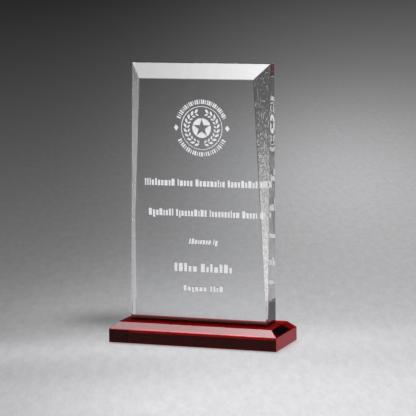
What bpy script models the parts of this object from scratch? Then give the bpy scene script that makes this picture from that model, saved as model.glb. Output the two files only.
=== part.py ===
"""Crystal award: a clear bevelled slab bonded upright on a ruby-red block with four stick-on feet.

Blender 4.5, in metres, +Z up. The award faces -Y, and +X is on the right of someone reading it.
The origin lies on the surface the award stands on, under the middle of the base block.
"""

import math

import bmesh
import bpy
from mathutils import Vector

# Clearance between one solid and the next.
GAP = 0.0003

# Bumper feet: thin discs, stuck under the block near its corners.
FOOT_DIAMETER = 0.008
FOOT_HEIGHT = 0.0008
FOOT_INSET_X = 0.012
FOOT_INSET_Y = 0.010
FOOT_SIDES = 32
FOOT_ROUNDING = 0.0003

# Base block: a chamfer on all four top edges, wider than it is deep.
BASE_LENGTH = 0.1524
BASE_DEPTH = 0.0570
BASE_TOP = 0.0186
CHAMFER_IN = 0.0066
CHAMFER_DOWN = 0.0057

# Film of cured adhesive between the block and the slab.
FILM_THICKNESS = 0.0003
FILM_INSET = 0.0006

# Slab. Its bevels reach the same depth at the top edge. Each side bevel is one flat cut, which
# narrows from its full width at the top to a thin facet at the foot.
PANEL_WIDTH = 0.1257
PANEL_THICKNESS = 0.0221
PANEL_TOP = 0.2416
BEVEL_DEPTH = 0.0126
TOP_BEVEL_DROP = 0.0127
SIDE_BEVEL_WIDTH = 0.0112
SIDE_BEVEL_FOOT_WIDTH = 0.0012

# Small polished flat along every ground edge.
ARRIS = 0.0003

# Heights that follow from the sizes above.
BASE_BOTTOM = FOOT_HEIGHT + GAP
FILM_BOTTOM = BASE_TOP + GAP
PANEL_BOTTOM = FILM_BOTTOM + FILM_THICKNESS + GAP
PANEL_FRONT = -PANEL_THICKNESS / 2


def clear_scene():
    """Removes every object of the open file."""
    for old in list(bpy.data.objects):
        bpy.data.objects.remove(old, do_unlink=True)


def new_collection(name):
    """A collection linked to the scene."""
    collection = bpy.data.collections.new(name)
    bpy.context.scene.collection.children.link(collection)
    return collection


def make_material(name, colour, roughness, transmission, ior):
    """A Principled material with no metal in it."""
    material = bpy.data.materials.new(name)
    material.use_nodes = True
    shader = material.node_tree.nodes["Principled BSDF"]
    shader.inputs["Base Color"].default_value = (*colour, 1.0)
    shader.inputs["Roughness"].default_value = roughness
    shader.inputs["Metallic"].default_value = 0.0
    shader.inputs["Transmission Weight"].default_value = transmission
    shader.inputs["IOR"].default_value = ior
    return material


def add_part(name, bm, material, origin, location, collection):
    """Makes an object of bm in the collection, held by the origin empty."""
    mesh = bpy.data.meshes.new(name)
    bmesh.ops.recalc_face_normals(bm, faces=bm.faces[:])
    bm.to_mesh(mesh)
    bm.free()
    mesh.materials.append(material)
    part = bpy.data.objects.new(name, mesh)
    part.location = location
    part.parent = origin
    collection.objects.link(part)
    return part


def bevel_edges(part, width, segments, angle=0.5):
    """Rounds or flattens the part's edges that turn by more than angle, in radians."""
    bevel = part.modifiers.new("arris", "BEVEL")
    bevel.width = width
    bevel.segments = segments
    bevel.limit_method = "ANGLE"
    bevel.angle_limit = angle


def box(width, depth, height):
    """A box centred on X and Y, standing on Z = 0."""
    bm = bmesh.new()
    bmesh.ops.create_cube(bm, size=1.0)
    bmesh.ops.translate(bm, verts=bm.verts[:], vec=(0.0, 0.0, 0.5))
    bmesh.ops.scale(bm, verts=bm.verts[:], vec=(width, depth, height))
    return bm


def cut_flat(bm, point, normal):
    """Cuts off what lies on the side the normal points to, and closes the cut with one flat face."""
    everything = bm.verts[:] + bm.edges[:] + bm.faces[:]
    cut = bmesh.ops.bisect_plane(bm, geom=everything, plane_co=point, plane_no=normal, clear_outer=True)
    rim = [item for item in cut["geom_cut"] if isinstance(item, bmesh.types.BMEdge)]
    bmesh.ops.contextual_create(bm, geom=rim)


def grind_arrises(bm, offset):
    """Cuts a narrow flat along every edge of a convex solid, reaching back by offset on both its faces."""
    bm.normal_update()
    cuts = []
    for edge in bm.edges:
        first, second = (face.normal for face in edge.link_faces)
        outward = (first + second).normalized()
        depth = offset * math.sin(first.angle(second) / 2)
        middle = (edge.verts[0].co + edge.verts[1].co) / 2
        cuts.append((middle - depth * outward, outward))
    for point, outward in cuts:
        cut_flat(bm, point, outward)


def make_feet(material, origin, collection):
    """Four discs, each with a rounded rim, standing on Z = 0."""
    offset_x = BASE_LENGTH / 2 - FOOT_INSET_X
    offset_y = BASE_DEPTH / 2 - FOOT_INSET_Y
    for depth_name, y in (("front", -offset_y), ("back", offset_y)):
        for side_name, x in (("left", -offset_x), ("right", offset_x)):
            bm = bmesh.new()
            bmesh.ops.create_cone(
                bm,
                cap_ends=True,
                segments=FOOT_SIDES,
                radius1=FOOT_DIAMETER / 2,
                radius2=FOOT_DIAMETER / 2,
                depth=FOOT_HEIGHT,
            )
            place = Vector((x, y, FOOT_HEIGHT / 2))
            foot = add_part(f"foot_{depth_name}_{side_name}", bm, material, origin, place, collection)
            bevel_edges(foot, FOOT_ROUNDING, segments=2)
            foot.data.shade_smooth()
            foot.data.set_sharp_from_angle(angle=0.6)


def make_base(material, origin, collection):
    """The block: a straight lower part, then the top drawn in by the chamfers."""
    straight = BASE_TOP - BASE_BOTTOM - CHAMFER_DOWN
    bm = box(BASE_LENGTH, BASE_DEPTH, straight)
    bm.normal_update()
    top = max(bm.faces, key=lambda face: face.normal.z)
    raised = bmesh.ops.extrude_discrete_faces(bm, faces=[top])["faces"][0]
    shrink_x = 1 - 2 * CHAMFER_IN / BASE_LENGTH
    shrink_y = 1 - 2 * CHAMFER_IN / BASE_DEPTH
    bmesh.ops.scale(bm, verts=raised.verts[:], vec=(shrink_x, shrink_y, 1.0))
    bmesh.ops.translate(bm, verts=raised.verts[:], vec=(0.0, 0.0, CHAMFER_DOWN))
    base = add_part("base_block", bm, material, origin, Vector((0.0, 0.0, BASE_BOTTOM)), collection)
    bevel_edges(base, ARRIS, segments=1)


def make_film(material, origin, collection):
    """The adhesive, a little smaller than the slab's foot."""
    bm = box(PANEL_WIDTH - 2 * FILM_INSET, PANEL_THICKNESS - 2 * FILM_INSET, FILM_THICKNESS)
    add_part("bond_film", bm, material, origin, Vector((0.0, 0.0, FILM_BOTTOM)), collection)


def make_panel(material, origin, collection):
    """The slab: a box cut by one plane along its top and one down each side."""
    height = PANEL_TOP - PANEL_BOTTOM
    half = PANEL_WIDTH / 2
    bm = box(PANEL_WIDTH, PANEL_THICKNESS, height)
    bevel_top_y = PANEL_FRONT + BEVEL_DEPTH
    cut_flat(bm, Vector((0.0, bevel_top_y, height)), Vector((0.0, -TOP_BEVEL_DROP, BEVEL_DEPTH)))
    for side in (-1, 1):
        inner_top = Vector((side * (half - SIDE_BEVEL_WIDTH), PANEL_FRONT, height - TOP_BEVEL_DROP))
        outer_top = Vector((side * half, bevel_top_y, height))
        inner_foot = Vector((side * (half - SIDE_BEVEL_FOOT_WIDTH), PANEL_FRONT, 0.0))
        outward = side * (inner_foot - inner_top).cross(outer_top - inner_top)
        cut_flat(bm, inner_top, outward)
    grind_arrises(bm, ARRIS)
    add_part("crystal_panel", bm, material, origin, Vector((0.0, 0.0, PANEL_BOTTOM)), collection)


def main():
    clear_scene()
    collection = new_collection("crystal_award")
    origin = bpy.data.objects.new("award_origin", None)
    collection.objects.link(origin)
    clear_glass = make_material("clear_crystal", (0.95, 0.96, 0.97), 0.02, 1.0, 1.52)
    red_glass = make_material("ruby_glass", (0.42, 0.01, 0.015), 0.03, 1.0, 1.50)
    adhesive = make_material("cured_adhesive", (0.92, 0.93, 0.92), 0.10, 1.0, 1.49)
    soft_plastic = make_material("clear_bumper", (0.80, 0.80, 0.78), 0.35, 0.8, 1.47)
    make_feet(soft_plastic, origin, collection)
    make_base(red_glass, origin, collection)
    make_film(adhesive, origin, collection)
    make_panel(clear_glass, origin, collection)


main()
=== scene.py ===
"""Looks for the crystal award: an engraved, bevelled crystal slab on a ruby-red block, in a pale studio."""

import math
import random

import bmesh
import bpy
from mathutils import Matrix, Vector


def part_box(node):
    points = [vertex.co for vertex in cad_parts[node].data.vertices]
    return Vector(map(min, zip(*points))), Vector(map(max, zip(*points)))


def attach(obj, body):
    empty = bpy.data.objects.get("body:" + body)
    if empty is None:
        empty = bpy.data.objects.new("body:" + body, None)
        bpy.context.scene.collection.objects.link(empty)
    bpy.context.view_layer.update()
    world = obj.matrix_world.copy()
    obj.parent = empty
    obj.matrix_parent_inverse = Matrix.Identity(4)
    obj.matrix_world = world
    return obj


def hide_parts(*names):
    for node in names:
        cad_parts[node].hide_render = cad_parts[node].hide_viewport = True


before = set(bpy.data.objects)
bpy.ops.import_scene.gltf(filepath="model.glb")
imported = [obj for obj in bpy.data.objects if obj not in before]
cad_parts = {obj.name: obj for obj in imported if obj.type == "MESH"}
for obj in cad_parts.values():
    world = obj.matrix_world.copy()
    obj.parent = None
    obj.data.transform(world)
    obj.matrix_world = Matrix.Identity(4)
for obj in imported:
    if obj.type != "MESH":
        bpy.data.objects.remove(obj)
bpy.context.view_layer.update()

MM = 0.001

# Camera: where it looks from and what it looks at, in degrees and metres, and its lens in millimetres.
CAMERA_AZIMUTH = 19.95
CAMERA_ELEVATION = 7.49
CAMERA_ROLL = -0.585
CAMERA_DISTANCE = 1.8
CAMERA_AIM = Vector((0.00593, 0.0, 0.1175))
CAMERA_LENS = 181.5

# Artwork, sandblasted into the slab's back face. Sizes in metres, heights above the table.
ETCH_DEPTH = 0.4 * MM
EMBLEM_HEIGHT = 186.1 * MM
RING_OUTER = 18.9 * MM
RING_INNER = 18.1 * MM

# Floor. Its brightness, painted light and shade, is a function of place, along two level directions: away
# and across.
FLOOR_RADIUS = 12.0
AWAY = (-0.341, 0.940, 0.0)
ACROSS = (0.940, 0.341, 0.0)
# How much of the paper's light comes from the lamps near the award, and how far out that reaches.
LAMP_SHARE = 0.5
LAMP_REACH = 1.3
# The painted pool of light in front of the award.
POOL_CENTRE = (0.085, -0.235, 0.0)
POOL_LEVEL = 0.462
POOL_RADIUS = 0.303
# The painted slow falloff of light on the paper beyond it.
PAPER_LEVEL = 0.3385
PAPER_RADIUS = 1.592
PAPER_FALL = 1.11
# The painted change of light from dark on the left to pale on the right.
SIDE_SPREAD = 1.8
SIDE_MIDDLE = -0.0118
SIDE_WIDTH = 0.0583
SIDE_CONTRAST = 0.711
SIDE_RISE = 0.322
# The painted pale band of light that the block throws in front of it: its slope, place, width and gain, and
# where across it fades.
BAND_SLOPE = 0.147
BAND_ALONG = -0.0104
BAND_WIDTH = 0.0553
BAND_GAIN = 0.344
BAND_FADE = (0.26, -0.01)
# The painted soft shadow of the award, behind the left end of the block.
SHADOW_ACROSS = -0.0849
SHADOW_ALONG = 0.1129
SHADOW_WIDTH = 0.0446
SHADOW_DEPTH = 0.488
# Each painted bloom of light: gain, middle and width across, then middle and width of the logarithm of its
# distance.
BLOOMS = ((0.6, 0.0603, 0.0667, 0.559, 0.615), (0.431, -0.0414, 0.0534, -0.822, 0.44))

# Crystal.
CRYSTAL_IOR = 1.52
CRYSTAL_TINT = (0.985, 0.99, 0.99, 1)
FROST_TINT = (0.93, 0.93, 0.93, 1)
# The top bevel's coat has an index far above glass, which brightens its reflections: a painted highlight.
TOP_COAT_IOR = 3.0

# Ruby glass. The front and right chamfers and the front face have their own indexes of refraction.
RUBY_IOR = 1.3
# The front chamfer's index is far above glass, which brightens its real reflections into a painted
# highlight.
CHAMFER_IOR = 3.55
END_CHAMFER_IOR = 1.38
# The front face's low index goes with its painted red reflection.
FRONT_IOR = 1.2

# The largest areas, in square metres, of the slab's short arrises, of its long ones beside the bevels,
# and of the block's arrises.
SHORT_ARRIS_AREA = 1e-4
LONG_ARRIS_AREA = 5e-4
BLOCK_ARRIS_AREA = 2e-4

# The clearances that the CAD solids keep are closed here, apart from this much.
SEAM = 0.02 * MM


# ---------------------------------------------------------------- materials


class Nodes:
    """A new material's node tree, with short ways to add nodes to it."""

    def __init__(self, name):
        self.material = bpy.data.materials.new(name)
        self.material.use_nodes = True
        self.tree = self.material.node_tree
        self.tree.nodes.clear()
        self.output = self.tree.nodes.new("ShaderNodeOutputMaterial")

    def add(self, kind, settings=None, **inputs):
        """Adds a node. Settings are its own properties. Inputs are values or sockets.

        An input goes by its name, with _ for a space, or by its number as i0, i1 and so on.
        """
        node = self.tree.nodes.new("ShaderNode" + kind)
        for key, value in (settings or {}).items():
            setattr(node, key, value)
        for key, value in inputs.items():
            numbered = key[0] == "i" and key[1:].isdigit()
            socket = node.inputs[int(key[1:])] if numbered else node.inputs[key.replace("_", " ")]
            if isinstance(value, bpy.types.NodeSocket):
                self.tree.links.new(value, socket)
            else:
                socket.default_value = value
        return node

    def link(self, output, node, name):
        """Links an output to a node's input, given by its name or number."""
        self.tree.links.new(output, node.inputs[name])

    def place(self):
        """The place of the shaded point, in metres."""
        return self.add("NewGeometry").outputs["Position"]

    def math(self, operation, *values):
        """The output of a Math node on values or sockets."""
        inputs = {f"i{i}": value for i, value in enumerate(values)}
        return self.add("Math", {"operation": operation}, **inputs).outputs[0]

    def scaled(self, value, gain, offset):
        """A socket's value times gain, plus offset."""
        return self.math("ADD", self.math("MULTIPLY", value, gain), offset)

    def dot(self, vector, direction):
        """The length of a vector along a direction."""
        return self.add("VectorMath", {"operation": "DOT_PRODUCT"}, i0=vector, i1=direction).outputs["Value"]

    def noise(self, place, scale, detail, roughness=0.6):
        """Noise between 0 and 1, with scale waves to the metre."""
        return self.add("TexNoise", Vector=place, Scale=scale, Detail=detail, Roughness=roughness).outputs[0]

    def ramp(self, value, start, stop, low, high):
        """Goes smoothly from low to high as the value goes from start to stop."""
        node = self.add("MapRange", {"interpolation_type": "SMOOTHSTEP"}, Value=value)
        for name, number in (("From Min", start), ("From Max", stop), ("To Min", low), ("To Max", high)):
            node.inputs[name].default_value = number
        return node.outputs[0]

    def rgb(self, red, green, blue):
        """A colour from three levels."""
        return self.add("CombineColor", Red=red, Green=green, Blue=blue).outputs[0]

    def colour(self, level):
        """A neutral colour of this level, a little cool."""
        return self.rgb(level, level, self.math("MULTIPLY", level, 1.02))

    def blend(self, share, first, second):
        """Two shaders mixed, with share of the second one, as the material's surface."""
        mix = self.add("MixShader", Fac=share)
        self.link(first.outputs[0], mix, 1)
        self.link(second.outputs[0], mix, 2)
        self.link(mix.outputs[0], self.output, "Surface")

    def surface(self, shader):
        """Makes a shader the material's surface."""
        self.link(shader.outputs[0], self.output, "Surface")


def bell(n, value, middle, width):
    """A bell curve of a socket: 1 at the middle, 0.37 one width away from it."""
    offset = n.math("DIVIDE", n.math("SUBTRACT", value, middle), width)
    return n.math("EXPONENT", n.math("MULTIPLY", n.math("MULTIPLY", offset, offset), -1.0))


def waviness(n, place, size, depth):
    """A normal for a polished face that is not quite flat: waves of this size and depth, in metres."""
    wave = n.noise(place, 1.0 / size, 1.0, roughness=0.5)
    return n.add("Bump", Height=wave, Strength=1.0, Distance=depth).outputs[0]


def glass(n, tint, roughness, ior, transmission=1.0):
    """A shader for something clear. Tint, roughness and index of refraction may be values or sockets."""
    shader = n.add("BsdfPrincipled", Base_Color=tint, Roughness=roughness, IOR=ior)
    shader.inputs["Transmission Weight"].default_value = transmission
    return shader


def clear_glass(n, place):
    """Polished crystal's shader."""
    shader = glass(n, CRYSTAL_TINT, 0.0, CRYSTAL_IOR)
    n.link(waviness(n, place, 18 * MM, 0.06 * MM), shader, "Normal")
    return shader


def crystal_material():
    """The slab's flat faces."""
    n = Nodes("clear_crystal")
    n.surface(clear_glass(n, n.place()))
    return n.material


def highlight_coated_material():
    """The bevel along the top, polished, with a coat of high index of refraction that makes its reflections
    brighter than the rest: a painted highlight on the real reflection of the lamps.
    """
    n = Nodes("highlight_coated_crystal")
    shader = clear_glass(n, n.place())
    shader.inputs["Coat Weight"].default_value = 1.0
    shader.inputs["Coat IOR"].default_value = TOP_COAT_IOR
    shader.inputs["Coat Roughness"].default_value = 0.0
    n.surface(shader)
    return n.material


def etched_material():
    """The sandblasted artwork, which light from behind shines through."""
    n = Nodes("etched_crystal")
    tone = n.colour(n.scaled(n.noise(n.place(), 2500.0, 2.0), 0.14, 0.86))
    front = n.add("BsdfDiffuse", Color=tone)
    back = n.add("BsdfTranslucent", Color=tone)
    n.blend(0.6, front, back)
    return n.material


def ground_material():
    """The long bevel on the right: ground crystal, clear at its head and mottled towards its foot."""
    n = Nodes("ground_crystal")
    place = n.place()
    height = n.add("SeparateXYZ", Vector=place).outputs["Z"]
    rise = n.ramp(height, 225 * MM, 60 * MM, 0.05, 0.62)
    foot = n.ramp(height, 30 * MM, 46 * MM, 0.0, 1.0)
    mottle = n.scaled(n.noise(place, 1300.0, 2.0), 3.2, -0.6)
    share = n.math("MAXIMUM", n.math("MULTIPLY", rise, mottle), 0.0)
    stretched = n.add("Mapping", Vector=place, Scale=Vector((1.0, 1.0, 0.33))).outputs[0]
    drips = n.ramp(n.noise(stretched, 1000.0, 1.0), 0.56, 0.68, 0.0, 0.26)
    share = n.math("MINIMUM", n.math("ADD", share, drips), 1.0)
    share = n.math("MULTIPLY", share, foot)
    n.blend(share, clear_glass(n, place), n.add("BsdfDiffuse", Color=FROST_TINT))
    return n.material


def hazed_material():
    """The bevel on the left: clear, with a faint white haze round its middle height."""
    n = Nodes("hazed_crystal")
    place = n.place()
    height = n.add("SeparateXYZ", Vector=place).outputs["Z"]
    haze = n.math("MULTIPLY", bell(n, height, 170 * MM, 60 * MM), 0.34)
    share = n.math("MULTIPLY", haze, n.scaled(n.noise(place, 500.0, 3.0), 0.24, 0.9))
    n.blend(share, clear_glass(n, place), n.add("BsdfDiffuse", Color=FROST_TINT))
    return n.material


def joint_material(name, clearness):
    """Where two pieces are bonded. Light passes unbent, and loses more on a slanting path."""
    n = Nodes(name)
    facing = n.add("LayerWeight", Blend=0.5).outputs["Facing"]
    path = n.math("POWER", n.math("SUBTRACT", 1.03, facing), -1.5)
    passed = n.math("POWER", clearness, path)
    n.surface(n.add("BsdfTransparent", Color=n.rgb(passed, passed, passed)))
    return n.material


def all_of(n, *tests):
    """1 where every test holds, or 0. Each test is an operation, a socket and a number."""
    whole = None
    for operation, value, limit in tests:
        holds = n.math(operation, value, limit)
        whole = holds if whole is None else n.math("MULTIPLY", whole, holds)
    return whole


def ruby_material():
    """Red glass, clear to look into. Where the slab is bonded to it, light passes without bending."""
    n = Nodes("ruby_glass")
    slab_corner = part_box("crystal_panel")[1]
    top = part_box("base_block")[1].z
    position = n.place()
    place = n.add("SeparateXYZ", Vector=position)
    facing = n.add("SeparateXYZ", Vector=n.add("NewGeometry").outputs["True Normal"])
    side, depth, rise = (facing.outputs[axis] for axis in "XYZ")
    bonded = all_of(
        n,
        ("LESS_THAN", n.math("ABSOLUTE", place.outputs["X"]), slab_corner.x),
        ("LESS_THAN", n.math("ABSOLUTE", place.outputs["Y"]), slab_corner.y),
        ("GREATER_THAN", place.outputs["Z"], top - 0.05 * MM),
    )
    front_chamfer = all_of(
        n,
        ("GREATER_THAN", rise, 0.5),
        ("LESS_THAN", rise, 0.9),
        ("LESS_THAN", depth, -0.3),
    )
    right_chamfer = all_of(n, ("GREATER_THAN", side, 0.3), ("GREATER_THAN", rise, 0.3))
    front = n.math("LESS_THAN", depth, -0.9)
    # The index of refraction of each kind of face, and 1 where the slab is bonded on.
    # The front chamfer's raised index paints a brighter highlight on its real reflections.
    bend = n.scaled(front_chamfer, CHAMFER_IOR - RUBY_IOR, RUBY_IOR)
    bend = n.math("ADD", bend, n.math("MULTIPLY", right_chamfer, END_CHAMFER_IOR - RUBY_IOR))
    bend = n.math("ADD", bend, n.math("MULTIPLY", front, FRONT_IOR - RUBY_IOR))
    bend = n.math("SUBTRACT", bend, n.math("MULTIPLY", bonded, RUBY_IOR - 1.0))
    # The right chamfer lets a quarter of the light through, and the other faces all of it: painted shade,
    # darkening the right chamfer.
    passed = n.scaled(right_chamfer, -0.75, 1.0)
    shader = glass(n, n.rgb(passed, passed, passed), 0.0, bend)
    # The front face reflects more than the others do, and more redly: a painted red reflection, made by a
    # specular tint above one.
    red = n.scaled(front, 2.6, 1.0)
    green = n.scaled(front, 0.48, 0.72)
    n.link(n.rgb(red, green, n.math("ADD", green, 0.02)), shader, "Specular Tint")
    n.link(waviness(n, position, 25 * MM, 0.04 * MM), shader, "Normal")
    absorbed = n.add("VolumeAbsorption", Color=(0.964, 0.0, 0.02, 1), Density=500.0)
    n.surface(shader)
    n.link(absorbed.outputs[0], n.output, "Volume")
    return n.material


def ruby_end_material():
    """The block's two ends, sawn and then lacquered, so that nothing shows through them."""
    n = Nodes("ruby_end")
    upright = n.add("Mapping", Vector=n.place(), Scale=Vector((1.0, 1.0, 0.08))).outputs[0]
    saw = n.noise(upright, 900.0, 3.0)
    red = n.scaled(saw, 0.10, 0.42)
    tone = n.rgb(red, n.math("MULTIPLY", red, 0.064), n.math("MULTIPLY", red, 0.096))
    sheen = n.scaled(saw, 0.06, 0.03)
    n.surface(n.add("BsdfPrincipled", Base_Color=tone, Roughness=sheen, IOR=1.12))
    return n.material


def ruby_edge_material():
    """The block's narrow arrises, where light that is trapped in the block comes out: painted a paler red, a
    painted glow.
    """
    n = Nodes("ruby_edge")
    edge_noise = n.noise(n.place(), 400.0, 2.0)
    # Painted glow: the arrises' paler red stands in for the light that comes out of them.
    red = n.scaled(edge_noise, 0.3, 0.35)
    tone = n.rgb(red, n.math("MULTIPLY", red, 0.024), n.math("MULTIPLY", red, 0.036))
    sheen = n.scaled(edge_noise, 0.2, 0.2)
    n.surface(n.add("BsdfPrincipled", Base_Color=tone, Roughness=sheen, IOR=1.2))
    return n.material


def adhesive_material():
    """The cured film between the slab and the block."""
    n = Nodes("cured_adhesive")
    shader = glass(n, (0.97, 0.98, 0.97, 1), 0.08, 1.49)
    n.link(waviness(n, n.place(), 1.5 * MM, 0.02 * MM), shader, "Normal")
    n.surface(shader)
    return n.material


def bumper_material():
    """Soft, slightly cloudy plastic, for the feet."""
    n = Nodes("clear_bumper")
    place = n.place()
    cloud = n.noise(place, 700.0, 2.0)
    tone = n.colour(n.scaled(cloud, 0.1, 0.78))
    matt = n.scaled(cloud, 0.2, 0.25)
    shader = glass(n, tone, matt, 1.47, transmission=0.8)
    n.link(waviness(n, place, 0.8 * MM, 0.01 * MM), shader, "Normal")
    n.surface(shader)
    return n.material


# ---------------------------------------------------------------- artwork


def prism(bm, outline, near, far):
    """A closed prism along Y over an outline of (x, z) points."""
    lower = [bm.verts.new((x, near, z)) for x, z in outline]
    upper = [bm.verts.new((x, far, z)) for x, z in outline]
    bm.faces.new(lower)
    bm.faces.new(upper)
    count = len(outline)
    for i in range(count):
        j = (i + 1) % count
        bm.faces.new((lower[i], lower[j], upper[j], upper[i]))


def ring(bm, centre_z, outer, inner, near, far, sides=96):
    """A closed ring along Y, round x = 0."""
    loops = []
    for radius, y in ((outer, near), (outer, far), (inner, far), (inner, near)):
        angles = [2 * math.pi * i / sides for i in range(sides)]
        points = [(radius * math.cos(a), y, centre_z + radius * math.sin(a)) for a in angles]
        loops.append([bm.verts.new(point) for point in points])
    for this, following in zip(loops, loops[1:] + loops[:1]):
        for i in range(sides):
            j = (i + 1) % sides
            bm.faces.new((this[i], this[j], following[j], following[i]))


def rounded_block(x0, x1, z0, z1, radius, slant=0.0):
    """Outline of a block with rounded corners, leaning to the right by slant times its height."""
    points = []
    left, right = x0 + radius, x1 - radius
    bottom, top = z0 + radius, z1 - radius
    for cx, cz, start in ((right, top, 0), (left, top, 90), (left, bottom, 180), (right, bottom, 270)):
        for step in range(3):
            angle = math.radians(start + 45 * step)
            points.append((cx + radius * math.cos(angle), cz + radius * math.sin(angle)))
    return [(x + slant * (z - z0), z) for x, z in points]


def turned(outline, angle, x, z):
    """The outline turned by angle, then moved."""
    c, s = math.cos(angle), math.sin(angle)
    return [(x + c * px - s * pz, z + s * px + c * pz) for px, pz in outline]


def leaf(length, width):
    """Outline of a pointed leaf along +X from the origin."""
    steps = 7
    top = [(length * i / steps, width / 2 * math.sin(math.pi * i / steps) ** 0.85) for i in range(1, steps)]
    bottom = [(x, -z) for x, z in reversed(top)]
    return [(length, 0.0)] + top[::-1] + [(0.0, 0.0)] + bottom[::-1]


def medallion(centre_z):
    """Outlines of a disc with a star left out of its middle, as five petals between the star's points."""
    outer, tip, notch = 8.6 * MM, 6.9 * MM, 3.0 * MM
    half_petal = 34.5
    rim_steps = 12
    petals = []
    for i in range(5):
        middle = 90 + 36 + 72 * i
        corners = []
        for step in range(rim_steps + 1):
            corners.append((2 * half_petal * step / rim_steps - half_petal, outer))
        corners += [(half_petal, tip), (0, notch), (-half_petal, tip)]
        outline = []
        for turn, radius in corners:
            angle = math.radians(middle + turn)
            outline.append((radius * math.cos(angle), centre_z + radius * math.sin(angle)))
        petals.append(outline)
    return petals


def wreath():
    """Two branches of laurel round the medallion, from its foot up both sides, as pairs of leaves."""
    found = []
    for side in (-1, 1):
        for i in range(10):
            angle = math.radians(-90 + side * (9 + 16 * i))
            tangent = angle + side * math.pi / 2
            # Each leaf: how it leans from the branch, its distance from the middle, length and width.
            for lean, radius, length, width in ((0.45, 13.9, 4.9, 2.3), (-0.72, 13.2, 3.7, 1.75)):
                x = radius * MM * math.cos(angle)
                z = EMBLEM_HEIGHT + radius * MM * math.sin(angle)
                found.append(turned(leaf(length * MM, width * MM), tangent - side * lean, x, z))
    return found


def arc_of_dashes(start, stop, count):
    """Plain blocks round the outside of the ring, from one angle to another, in degrees."""
    found = []
    for i in range(count):
        angle = math.radians(start + (stop - start) * i / (count - 1))
        width = (1.6, 0.8, 1.2)[i % 3] * MM
        block = rounded_block(20.6 * MM, 24.6 * MM, -width / 2, width / 2, 0.25 * MM)
        found.append(turned(block, angle, 0.0, EMBLEM_HEIGHT))
    return found


def emblem_outlines():
    """The medallion, the laurel wreath, the arcs of dashes round the ring and a diamond at each side."""
    found = medallion(EMBLEM_HEIGHT) + wreath()
    found += arc_of_dashes(157, 23, 29)
    found += arc_of_dashes(208, 332, 25)
    diamond = [(2.2 * MM, 0.0), (0.0, 2.8 * MM), (-2.2 * MM, 0.0), (0.0, -2.8 * MM)]
    for x in (-23.3 * MM, 23.3 * MM):
        found.append(turned(diamond, 0.0, x, EMBLEM_HEIGHT))
    return found


def line_outlines(foot, height, width, words, gap, slant=0.0, seed=1, low=0.8, hanging=0.1):
    """A line of plain blocks in the rhythm of words: tall, low and hanging ones, with no letter shapes.

    Foot is the line's height above the table, gap the space between its blocks, low the share of the
    height that a low block has, and hanging the chance that a block reaches below the line.
    """
    word_space = 0.6
    chance = random.Random(seed)
    rows = [[chance.choice((0.7, 0.9, 1.0, 1.0, 1.25)) for _ in range(word)] for word in words]
    pitch = width / (sum(sum(row) for row in rows) + word_space * (len(words) - 1))
    x = -width / 2
    found = []
    for row in rows:
        for i, share in enumerate(row):
            tall = i == 0 or chance.random() < 0.25
            hangs = i > 0 and chance.random() < hanging
            top = foot + height * (1.0 if tall else low)
            bottom = foot - height * (0.24 if hangs else 0.0)
            left = x + gap / 2
            right = x + share * pitch - gap / 2
            found.append(rounded_block(left, right, bottom, top, 0.2 * MM, slant))
            x += share * pitch
        x += word_space * pitch
    return found


def text_outlines():
    """The five lines under the emblem, each with its foot, height, width, words and gap."""
    found = line_outlines(135.5 * MM, 6.3 * MM, 106.5 * MM, (10, 5, 9, 10), 0.75 * MM, seed=2)
    found += line_outlines(109.4 * MM, 6.3 * MM, 100 * MM, (8, 10, 10, 5), 0.75 * MM, seed=5)
    found += line_outlines(85.4 * MM, 4.9 * MM, 26.5 * MM, (8, 2), 0.65 * MM, slant=0.2, seed=3)
    found += line_outlines(61.1 * MM, 7.6 * MM, 54 * MM, (5, 7), 1.25 * MM, seed=11, low=0.68, hanging=0.0)
    found += line_outlines(44.3 * MM, 5.2 * MM, 37 * MM, (6, 4), 0.9 * MM, seed=4, low=0.74)
    return found


def artwork_cutter(near, far):
    """The whole artwork as one object of closed prisms along Y, to cut the slab with."""
    bm = bmesh.new()
    for outline in emblem_outlines() + text_outlines():
        prism(bm, outline, near, far)
    ring(bm, EMBLEM_HEIGHT, RING_OUTER, RING_INNER, near, far)
    bmesh.ops.recalc_face_normals(bm, faces=bm.faces[:])
    mesh = bpy.data.meshes.new("artwork_cutter")
    bm.to_mesh(mesh)
    bm.free()
    mesh.materials.append(etched_material())
    cutter = bpy.data.objects.new("artwork_cutter", mesh)
    bpy.context.scene.collection.objects.link(cutter)
    return cutter


# ---------------------------------------------------------------- pieces


def copy_of_node(node, name):
    """A welded copy of a CAD node's mesh, with its flat faces whole again."""
    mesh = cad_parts[node].data.copy()
    mesh.name = name
    mesh.materials.clear()
    bm = bmesh.new()
    bm.from_mesh(mesh)
    bmesh.ops.remove_doubles(bm, verts=bm.verts[:], dist=0.001 * MM)
    bmesh.ops.dissolve_limit(bm, angle_limit=0.002, verts=bm.verts[:], edges=bm.edges[:])
    bmesh.ops.recalc_face_normals(bm, faces=bm.faces[:])
    for face in bm.faces:
        face.smooth = False
    bm.to_mesh(mesh)
    bm.free()
    if mesh.has_custom_normals:
        mesh.attributes.remove(mesh.attributes["custom_normal"])
    piece = bpy.data.objects.new(name, mesh)
    bpy.context.scene.collection.objects.link(piece)
    return piece


def cut_away(piece, cutter):
    """Cuts the cutter out of the piece for good. The cut faces keep the cutter's material."""
    cut = piece.modifiers.new("artwork", "BOOLEAN")
    cut.operation = "DIFFERENCE"
    cut.solver = "EXACT"
    cut.material_mode = "TRANSFER"
    cut.object = cutter
    graph = bpy.context.evaluated_depsgraph_get()
    finished = bpy.data.meshes.new_from_object(piece.evaluated_get(graph))
    piece.modifiers.clear()
    piece.data = finished
    bpy.data.objects.remove(cutter)


def paint_faces(mesh, material, belongs):
    """Gives the mesh one more material, on the faces for which belongs is true."""
    mesh.materials.append(material)
    index = len(mesh.materials) - 1
    for face in mesh.polygons:
        if belongs(face):
            face.material_index = index


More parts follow.
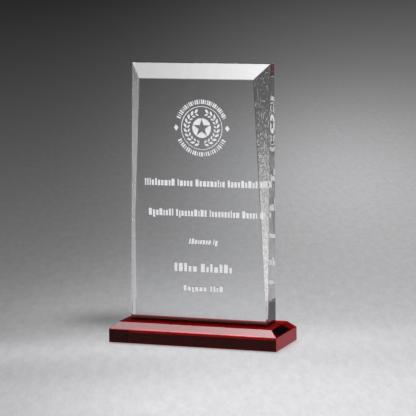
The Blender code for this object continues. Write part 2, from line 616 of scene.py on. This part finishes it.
def engraved_slab():
    """The crystal slab, with the artwork cut into its back face."""
    slab = copy_of_node("crystal_panel", "engraved_slab")
    slab.data.materials.append(crystal_material())
    low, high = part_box("crystal_panel")
    cut_away(slab, artwork_cutter(high.y - ETCH_DEPTH, high.y + 1 * MM))

    def at_foot(face):
        return face.normal.z < -0.3 and face.center.z < low.z + 0.4 * MM

    def on_right_bevel(face):
        return face.normal.x > 0.3 and face.normal.y < -0.3 and face.area > LONG_ARRIS_AREA

    def on_top_bevel(face):
        return face.normal.z > 0.3 and face.normal.y < -0.3 and face.area > LONG_ARRIS_AREA

    def on_left_bevel_or_beside(face):
        return face.normal.x < -0.3 and face.normal.y < -0.3 and face.area > SHORT_ARRIS_AREA

    paint_faces(slab.data, joint_material("slab_foot", 0.98), at_foot)
    paint_faces(slab.data, ground_material(), on_right_bevel)
    paint_faces(slab.data, highlight_coated_material(), on_top_bevel)
    paint_faces(slab.data, hazed_material(), on_left_bevel_or_beside)
    return slab


def ruby_base():
    """The red block, with lacquered ends and arrises painted paler, a painted glow of light."""
    base = copy_of_node("base_block", "ruby_base")
    base.data.materials.append(ruby_material())
    paint_faces(base.data, ruby_end_material(), lambda face: abs(face.normal.x) > 0.99)
    paint_faces(base.data, ruby_edge_material(), lambda face: face.area < BLOCK_ARRIS_AREA)
    return base


def filled_film():
    """The adhesive, squeezed out flush with the slab, from the block's top to the slab's foot."""
    film = copy_of_node("bond_film", "adhesive_film")
    film.data.materials.append(adhesive_material())
    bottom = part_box("base_block")[1].z + SEAM
    low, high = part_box("crystal_panel")
    middle = sum(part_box("bond_film"), Vector()) / 2
    for vertex in film.data.vertices:
        vertex.co.x = (high.x - SEAM) * (1 if vertex.co.x > 0 else -1)
        vertex.co.y = (high.y - SEAM) * (1 if vertex.co.y > 0 else -1)
        vertex.co.z = bottom if vertex.co.z < middle.z else low.z - SEAM
    paint_faces(film.data, joint_material("cured_face", 0.9), lambda face: abs(face.normal.z) > 0.99)
    return film


# ---------------------------------------------------------------- stage, light and camera


def fading(n, distance, radius, power):
    """1 at no distance, falling off as (1 + (distance / radius) squared) to the power of minus power."""
    square = n.math("POWER", n.math("DIVIDE", distance, radius), 2.0)
    return n.math("POWER", n.math("ADD", square, 1.0), -power)


def raised(n, level, share, gain):
    """The level times (1 + gain times share)."""
    return n.math("MULTIPLY", level, n.scaled(share, gain, 1.0))


def painted_floor_light(n):
    """How bright the paper is, as painted light and shade: (brightness, distance from the middle of the
    painted pool of light), as sockets.

    A painted pool of light in front of the award, a painted slow falloff of light beyond it, and painted
    light that goes from dark on the left to pale on the right and grows with distance. Then a painted pale
    band of the light that the block throws on the paper, the award's painted soft shadow behind its left
    end, two wide painted blooms of light, one far right and one near left, and the paper's own grain.
    """
    place = n.place()
    across = n.dot(place, ACROSS)
    along = n.dot(place, AWAY)
    distance = n.add("VectorMath", {"operation": "DISTANCE"}, i0=place, i1=POOL_CENTRE).outputs["Value"]
    # Painted light: a pool of light in front of the award and a slow falloff of light beyond it.
    pool = fading(n, distance, POOL_RADIUS, 1.5)
    far = n.math("POWER", n.math("ADD", n.math("DIVIDE", distance, PAPER_RADIUS), 1.0), -PAPER_FALL)
    level = n.math("ADD", n.math("MULTIPLY", pool, POOL_LEVEL), n.math("MULTIPLY", far, PAPER_LEVEL))

    # Painted light: darker on the left and paler on the right, more so with distance.
    side = n.math("DIVIDE", across, n.math("ADD", n.math("ABSOLUTE", along), SIDE_SPREAD))
    lean = n.math("TANH", n.math("DIVIDE", n.math("SUBTRACT", side, SIDE_MIDDLE), SIDE_WIDTH))
    growth = n.math("DIVIDE", distance, n.math("ADD", distance, SIDE_RISE))
    contrast = n.math("MULTIPLY", n.math("MULTIPLY", growth, SIDE_CONTRAST), lean)
    level = n.math("MULTIPLY", level, n.math("EXPONENT", contrast))

    # Painted light: a pale band that the block throws on the paper in front of it.
    sloped = n.math("SUBTRACT", along, n.math("MULTIPLY", across, BAND_SLOPE))
    band = bell(n, sloped, BAND_ALONG, BAND_WIDTH)
    band = n.math("MULTIPLY", band, n.ramp(across, *BAND_FADE, 0.0, 1.0))
    level = raised(n, level, band, BAND_GAIN)

    # Painted shadow: the award's soft shadow, darkening the paper behind the left end of the block.
    behind = bell(n, along, SHADOW_ALONG, SHADOW_WIDTH)
    shadow = n.math("MULTIPLY", bell(n, across, SHADOW_ACROSS, SHADOW_WIDTH), behind)
    level = raised(n, level, shadow, -SHADOW_DEPTH)

    # Painted light: two wide blooms, one far right and one near left.
    reach = n.math("LOGARITHM", distance, math.e)
    for gain, middle, width, far_middle, far_width in BLOOMS:
        bloom = n.math("MULTIPLY", bell(n, side, middle, width), bell(n, reach, far_middle, far_width))
        level = raised(n, level, bloom, gain)

    fibres = n.add("CombineXYZ", X=across, Y=n.math("MULTIPLY", along, 0.2)).outputs[0]
    grain = n.noise(fibres, 130.0, 5.0, roughness=0.85)
    return n.math("MULTIPLY", level, n.scaled(grain, 0.5, 0.75)), distance


def floor():
    """Pale studio paper, with painted light and shade in its colour. Part of its light is its own, a painted
    glow, so that it stays even far from the lamps.
    """
    bpy.ops.mesh.primitive_circle_add(vertices=96, radius=FLOOR_RADIUS, fill_type="NGON")
    disc = bpy.context.object
    disc.name = "studio_floor"
    n = Nodes("studio_floor")
    level, distance = painted_floor_light(n)
    own = n.scaled(fading(n, distance, LAMP_REACH, 2.0), -LAMP_SHARE, 1.0)
    # The painted light and shade go into the paper's colour and into its glow, which is itself painted
    # light.
    paper = n.add("BsdfDiffuse", Color=n.colour(n.math("MULTIPLY", level, LAMP_SHARE)))
    glow = n.add("Emission", Color=n.colour(n.math("MULTIPLY", level, own)), Strength=1.0)
    n.surface(n.add("AddShader", i0=paper.outputs[0], i1=glow.outputs[0]))
    disc.data.materials.append(n.material)


def softbox(name, place, aim, size, power):
    """A rectangular lamp, width by height, that the camera doesn't see."""
    light = bpy.data.lights.new(name, "AREA")
    light.shape = "RECTANGLE"
    light.size, light.size_y = size
    light.energy = power
    lamp = bpy.data.objects.new(name, light)
    lamp.location = place
    lamp.rotation_euler = (Vector(aim) - Vector(place)).to_track_quat("-Z", "Y").to_euler()
    lamp.visible_camera = False
    bpy.context.scene.collection.objects.link(lamp)
    return lamp


def shade_across(lamp):
    """Makes the softbox brighter towards +X, as one with its tube off centre is."""
    lamp.data.use_nodes = True
    tree = lamp.data.node_tree
    emission = tree.nodes["Emission"]
    place = tree.nodes.new("ShaderNodeNewGeometry")
    split = tree.nodes.new("ShaderNodeSeparateXYZ")
    slope = tree.nodes.new("ShaderNodeMapRange")
    for name, value in (("From Min", -0.62), ("From Max", -0.30), ("To Min", 0.0), ("To Max", 1.0)):
        slope.inputs[name].default_value = value
    square = tree.nodes.new("ShaderNodeMath")
    square.operation = "MULTIPLY"
    strength = tree.nodes.new("ShaderNodeMath")
    strength.operation = "MULTIPLY_ADD"
    strength.inputs[1].default_value = 0.62
    strength.inputs[2].default_value = 0.6
    tree.links.new(place.outputs["Position"], split.inputs[0])
    tree.links.new(split.outputs["X"], slope.inputs["Value"])
    tree.links.new(slope.outputs[0], square.inputs[0])
    tree.links.new(slope.outputs[0], square.inputs[1])
    tree.links.new(square.outputs[0], strength.inputs[0])
    tree.links.new(strength.outputs[0], emission.inputs["Strength"])


def dim_surroundings():
    """A nearly black room round the stage."""
    world = bpy.data.worlds.new("studio")
    world.use_nodes = True
    world.node_tree.nodes["Background"].inputs["Color"].default_value = (0.015, 0.015, 0.016, 1)
    bpy.context.scene.world = world


def studio_light():
    """A lamp overhead, a card that shows only in reflections, a lamp behind the award and a key lamp."""
    middle = (0, 0, 0.12)
    below = (-0.3, -0.05, 0)
    overhead = softbox("overhead", place=(-0.3, -0.05, 1.40), aim=below, size=(0.8, 0.7), power=15.0)
    card = softbox("ceiling_card", place=(-0.3, -0.05, 1.35), aim=below, size=(0.8, 0.7), power=3.2)
    card.visible_diffuse = False
    shade_across(card)
    rear = softbox("rear", place=(0.5, 1.3, 1.0), aim=middle, size=(1.0, 0.8), power=44.0)
    key = softbox("key", place=(1.1, -1.4, 1.2), aim=middle, size=(0.7, 0.6), power=16.0)
    for lamp in (overhead, rear, key):
        lamp.visible_glossy = False
        lamp.visible_transmission = False
    # The lamp behind lights the slab alone, so that the artwork glows and the paper stays even.
    lit = bpy.data.collections.new("lit_from_behind")
    lit.objects.link(bpy.data.objects["engraved_slab"])
    rear.light_linking.receiver_collection = lit


def camera():
    """A long lens, a little above the award and to the right of its front, with no film look."""
    azimuth = math.radians(CAMERA_AZIMUTH)
    elevation = math.radians(CAMERA_ELEVATION)
    roll = math.radians(CAMERA_ROLL)
    level = math.cos(elevation)
    back = Vector((math.sin(azimuth) * level, -math.cos(azimuth) * level, math.sin(elevation)))
    level_right = Vector((math.cos(azimuth), math.sin(azimuth), 0.0))
    level_up = back.cross(level_right)
    right = math.cos(roll) * level_right + math.sin(roll) * level_up
    up = math.cos(roll) * level_up - math.sin(roll) * level_right
    data = bpy.data.cameras.new("camera")
    data.lens = CAMERA_LENS
    view = bpy.data.objects.new("camera", data)
    rotation = Matrix((right, up, back)).transposed().to_4x4()
    view.matrix_world = Matrix.Translation(CAMERA_AIM + back * CAMERA_DISTANCE) @ rotation
    bpy.context.scene.collection.objects.link(view)
    bpy.context.scene.camera = view
    bpy.context.scene.view_settings.view_transform = "Standard"


def light_paths():
    """Enough bounces for light to cross both glasses several times."""
    cycles = bpy.context.scene.cycles
    cycles.max_bounces = 40
    cycles.transmission_bounces = 36
    cycles.glossy_bounces = 16
    cycles.diffuse_bounces = 5
    cycles.transparent_max_bounces = 24
    cycles.blur_glossy = 0.2
    cycles.caustics_reflective = False
    cycles.caustics_refractive = False
    cycles.sample_clamp_indirect = 6.0
    cycles.denoising_prefilter = "ACCURATE"


def main():
    """Puts the looks on the frame: the three finished pieces, the feet's material, and the stage."""
    slab = engraved_slab()
    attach(slab, "root")
    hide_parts("crystal_panel")
    base = ruby_base()
    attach(base, "root")
    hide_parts("base_block")
    film = filled_film()
    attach(film, "root")
    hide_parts("bond_film")
    bumper = bumper_material()
    for name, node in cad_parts.items():
        if name.startswith("foot_"):
            node.data.materials.clear()
            node.data.materials.append(bumper)
    floor()
    dim_surroundings()
    studio_light()
    camera()
    light_paths()


main()
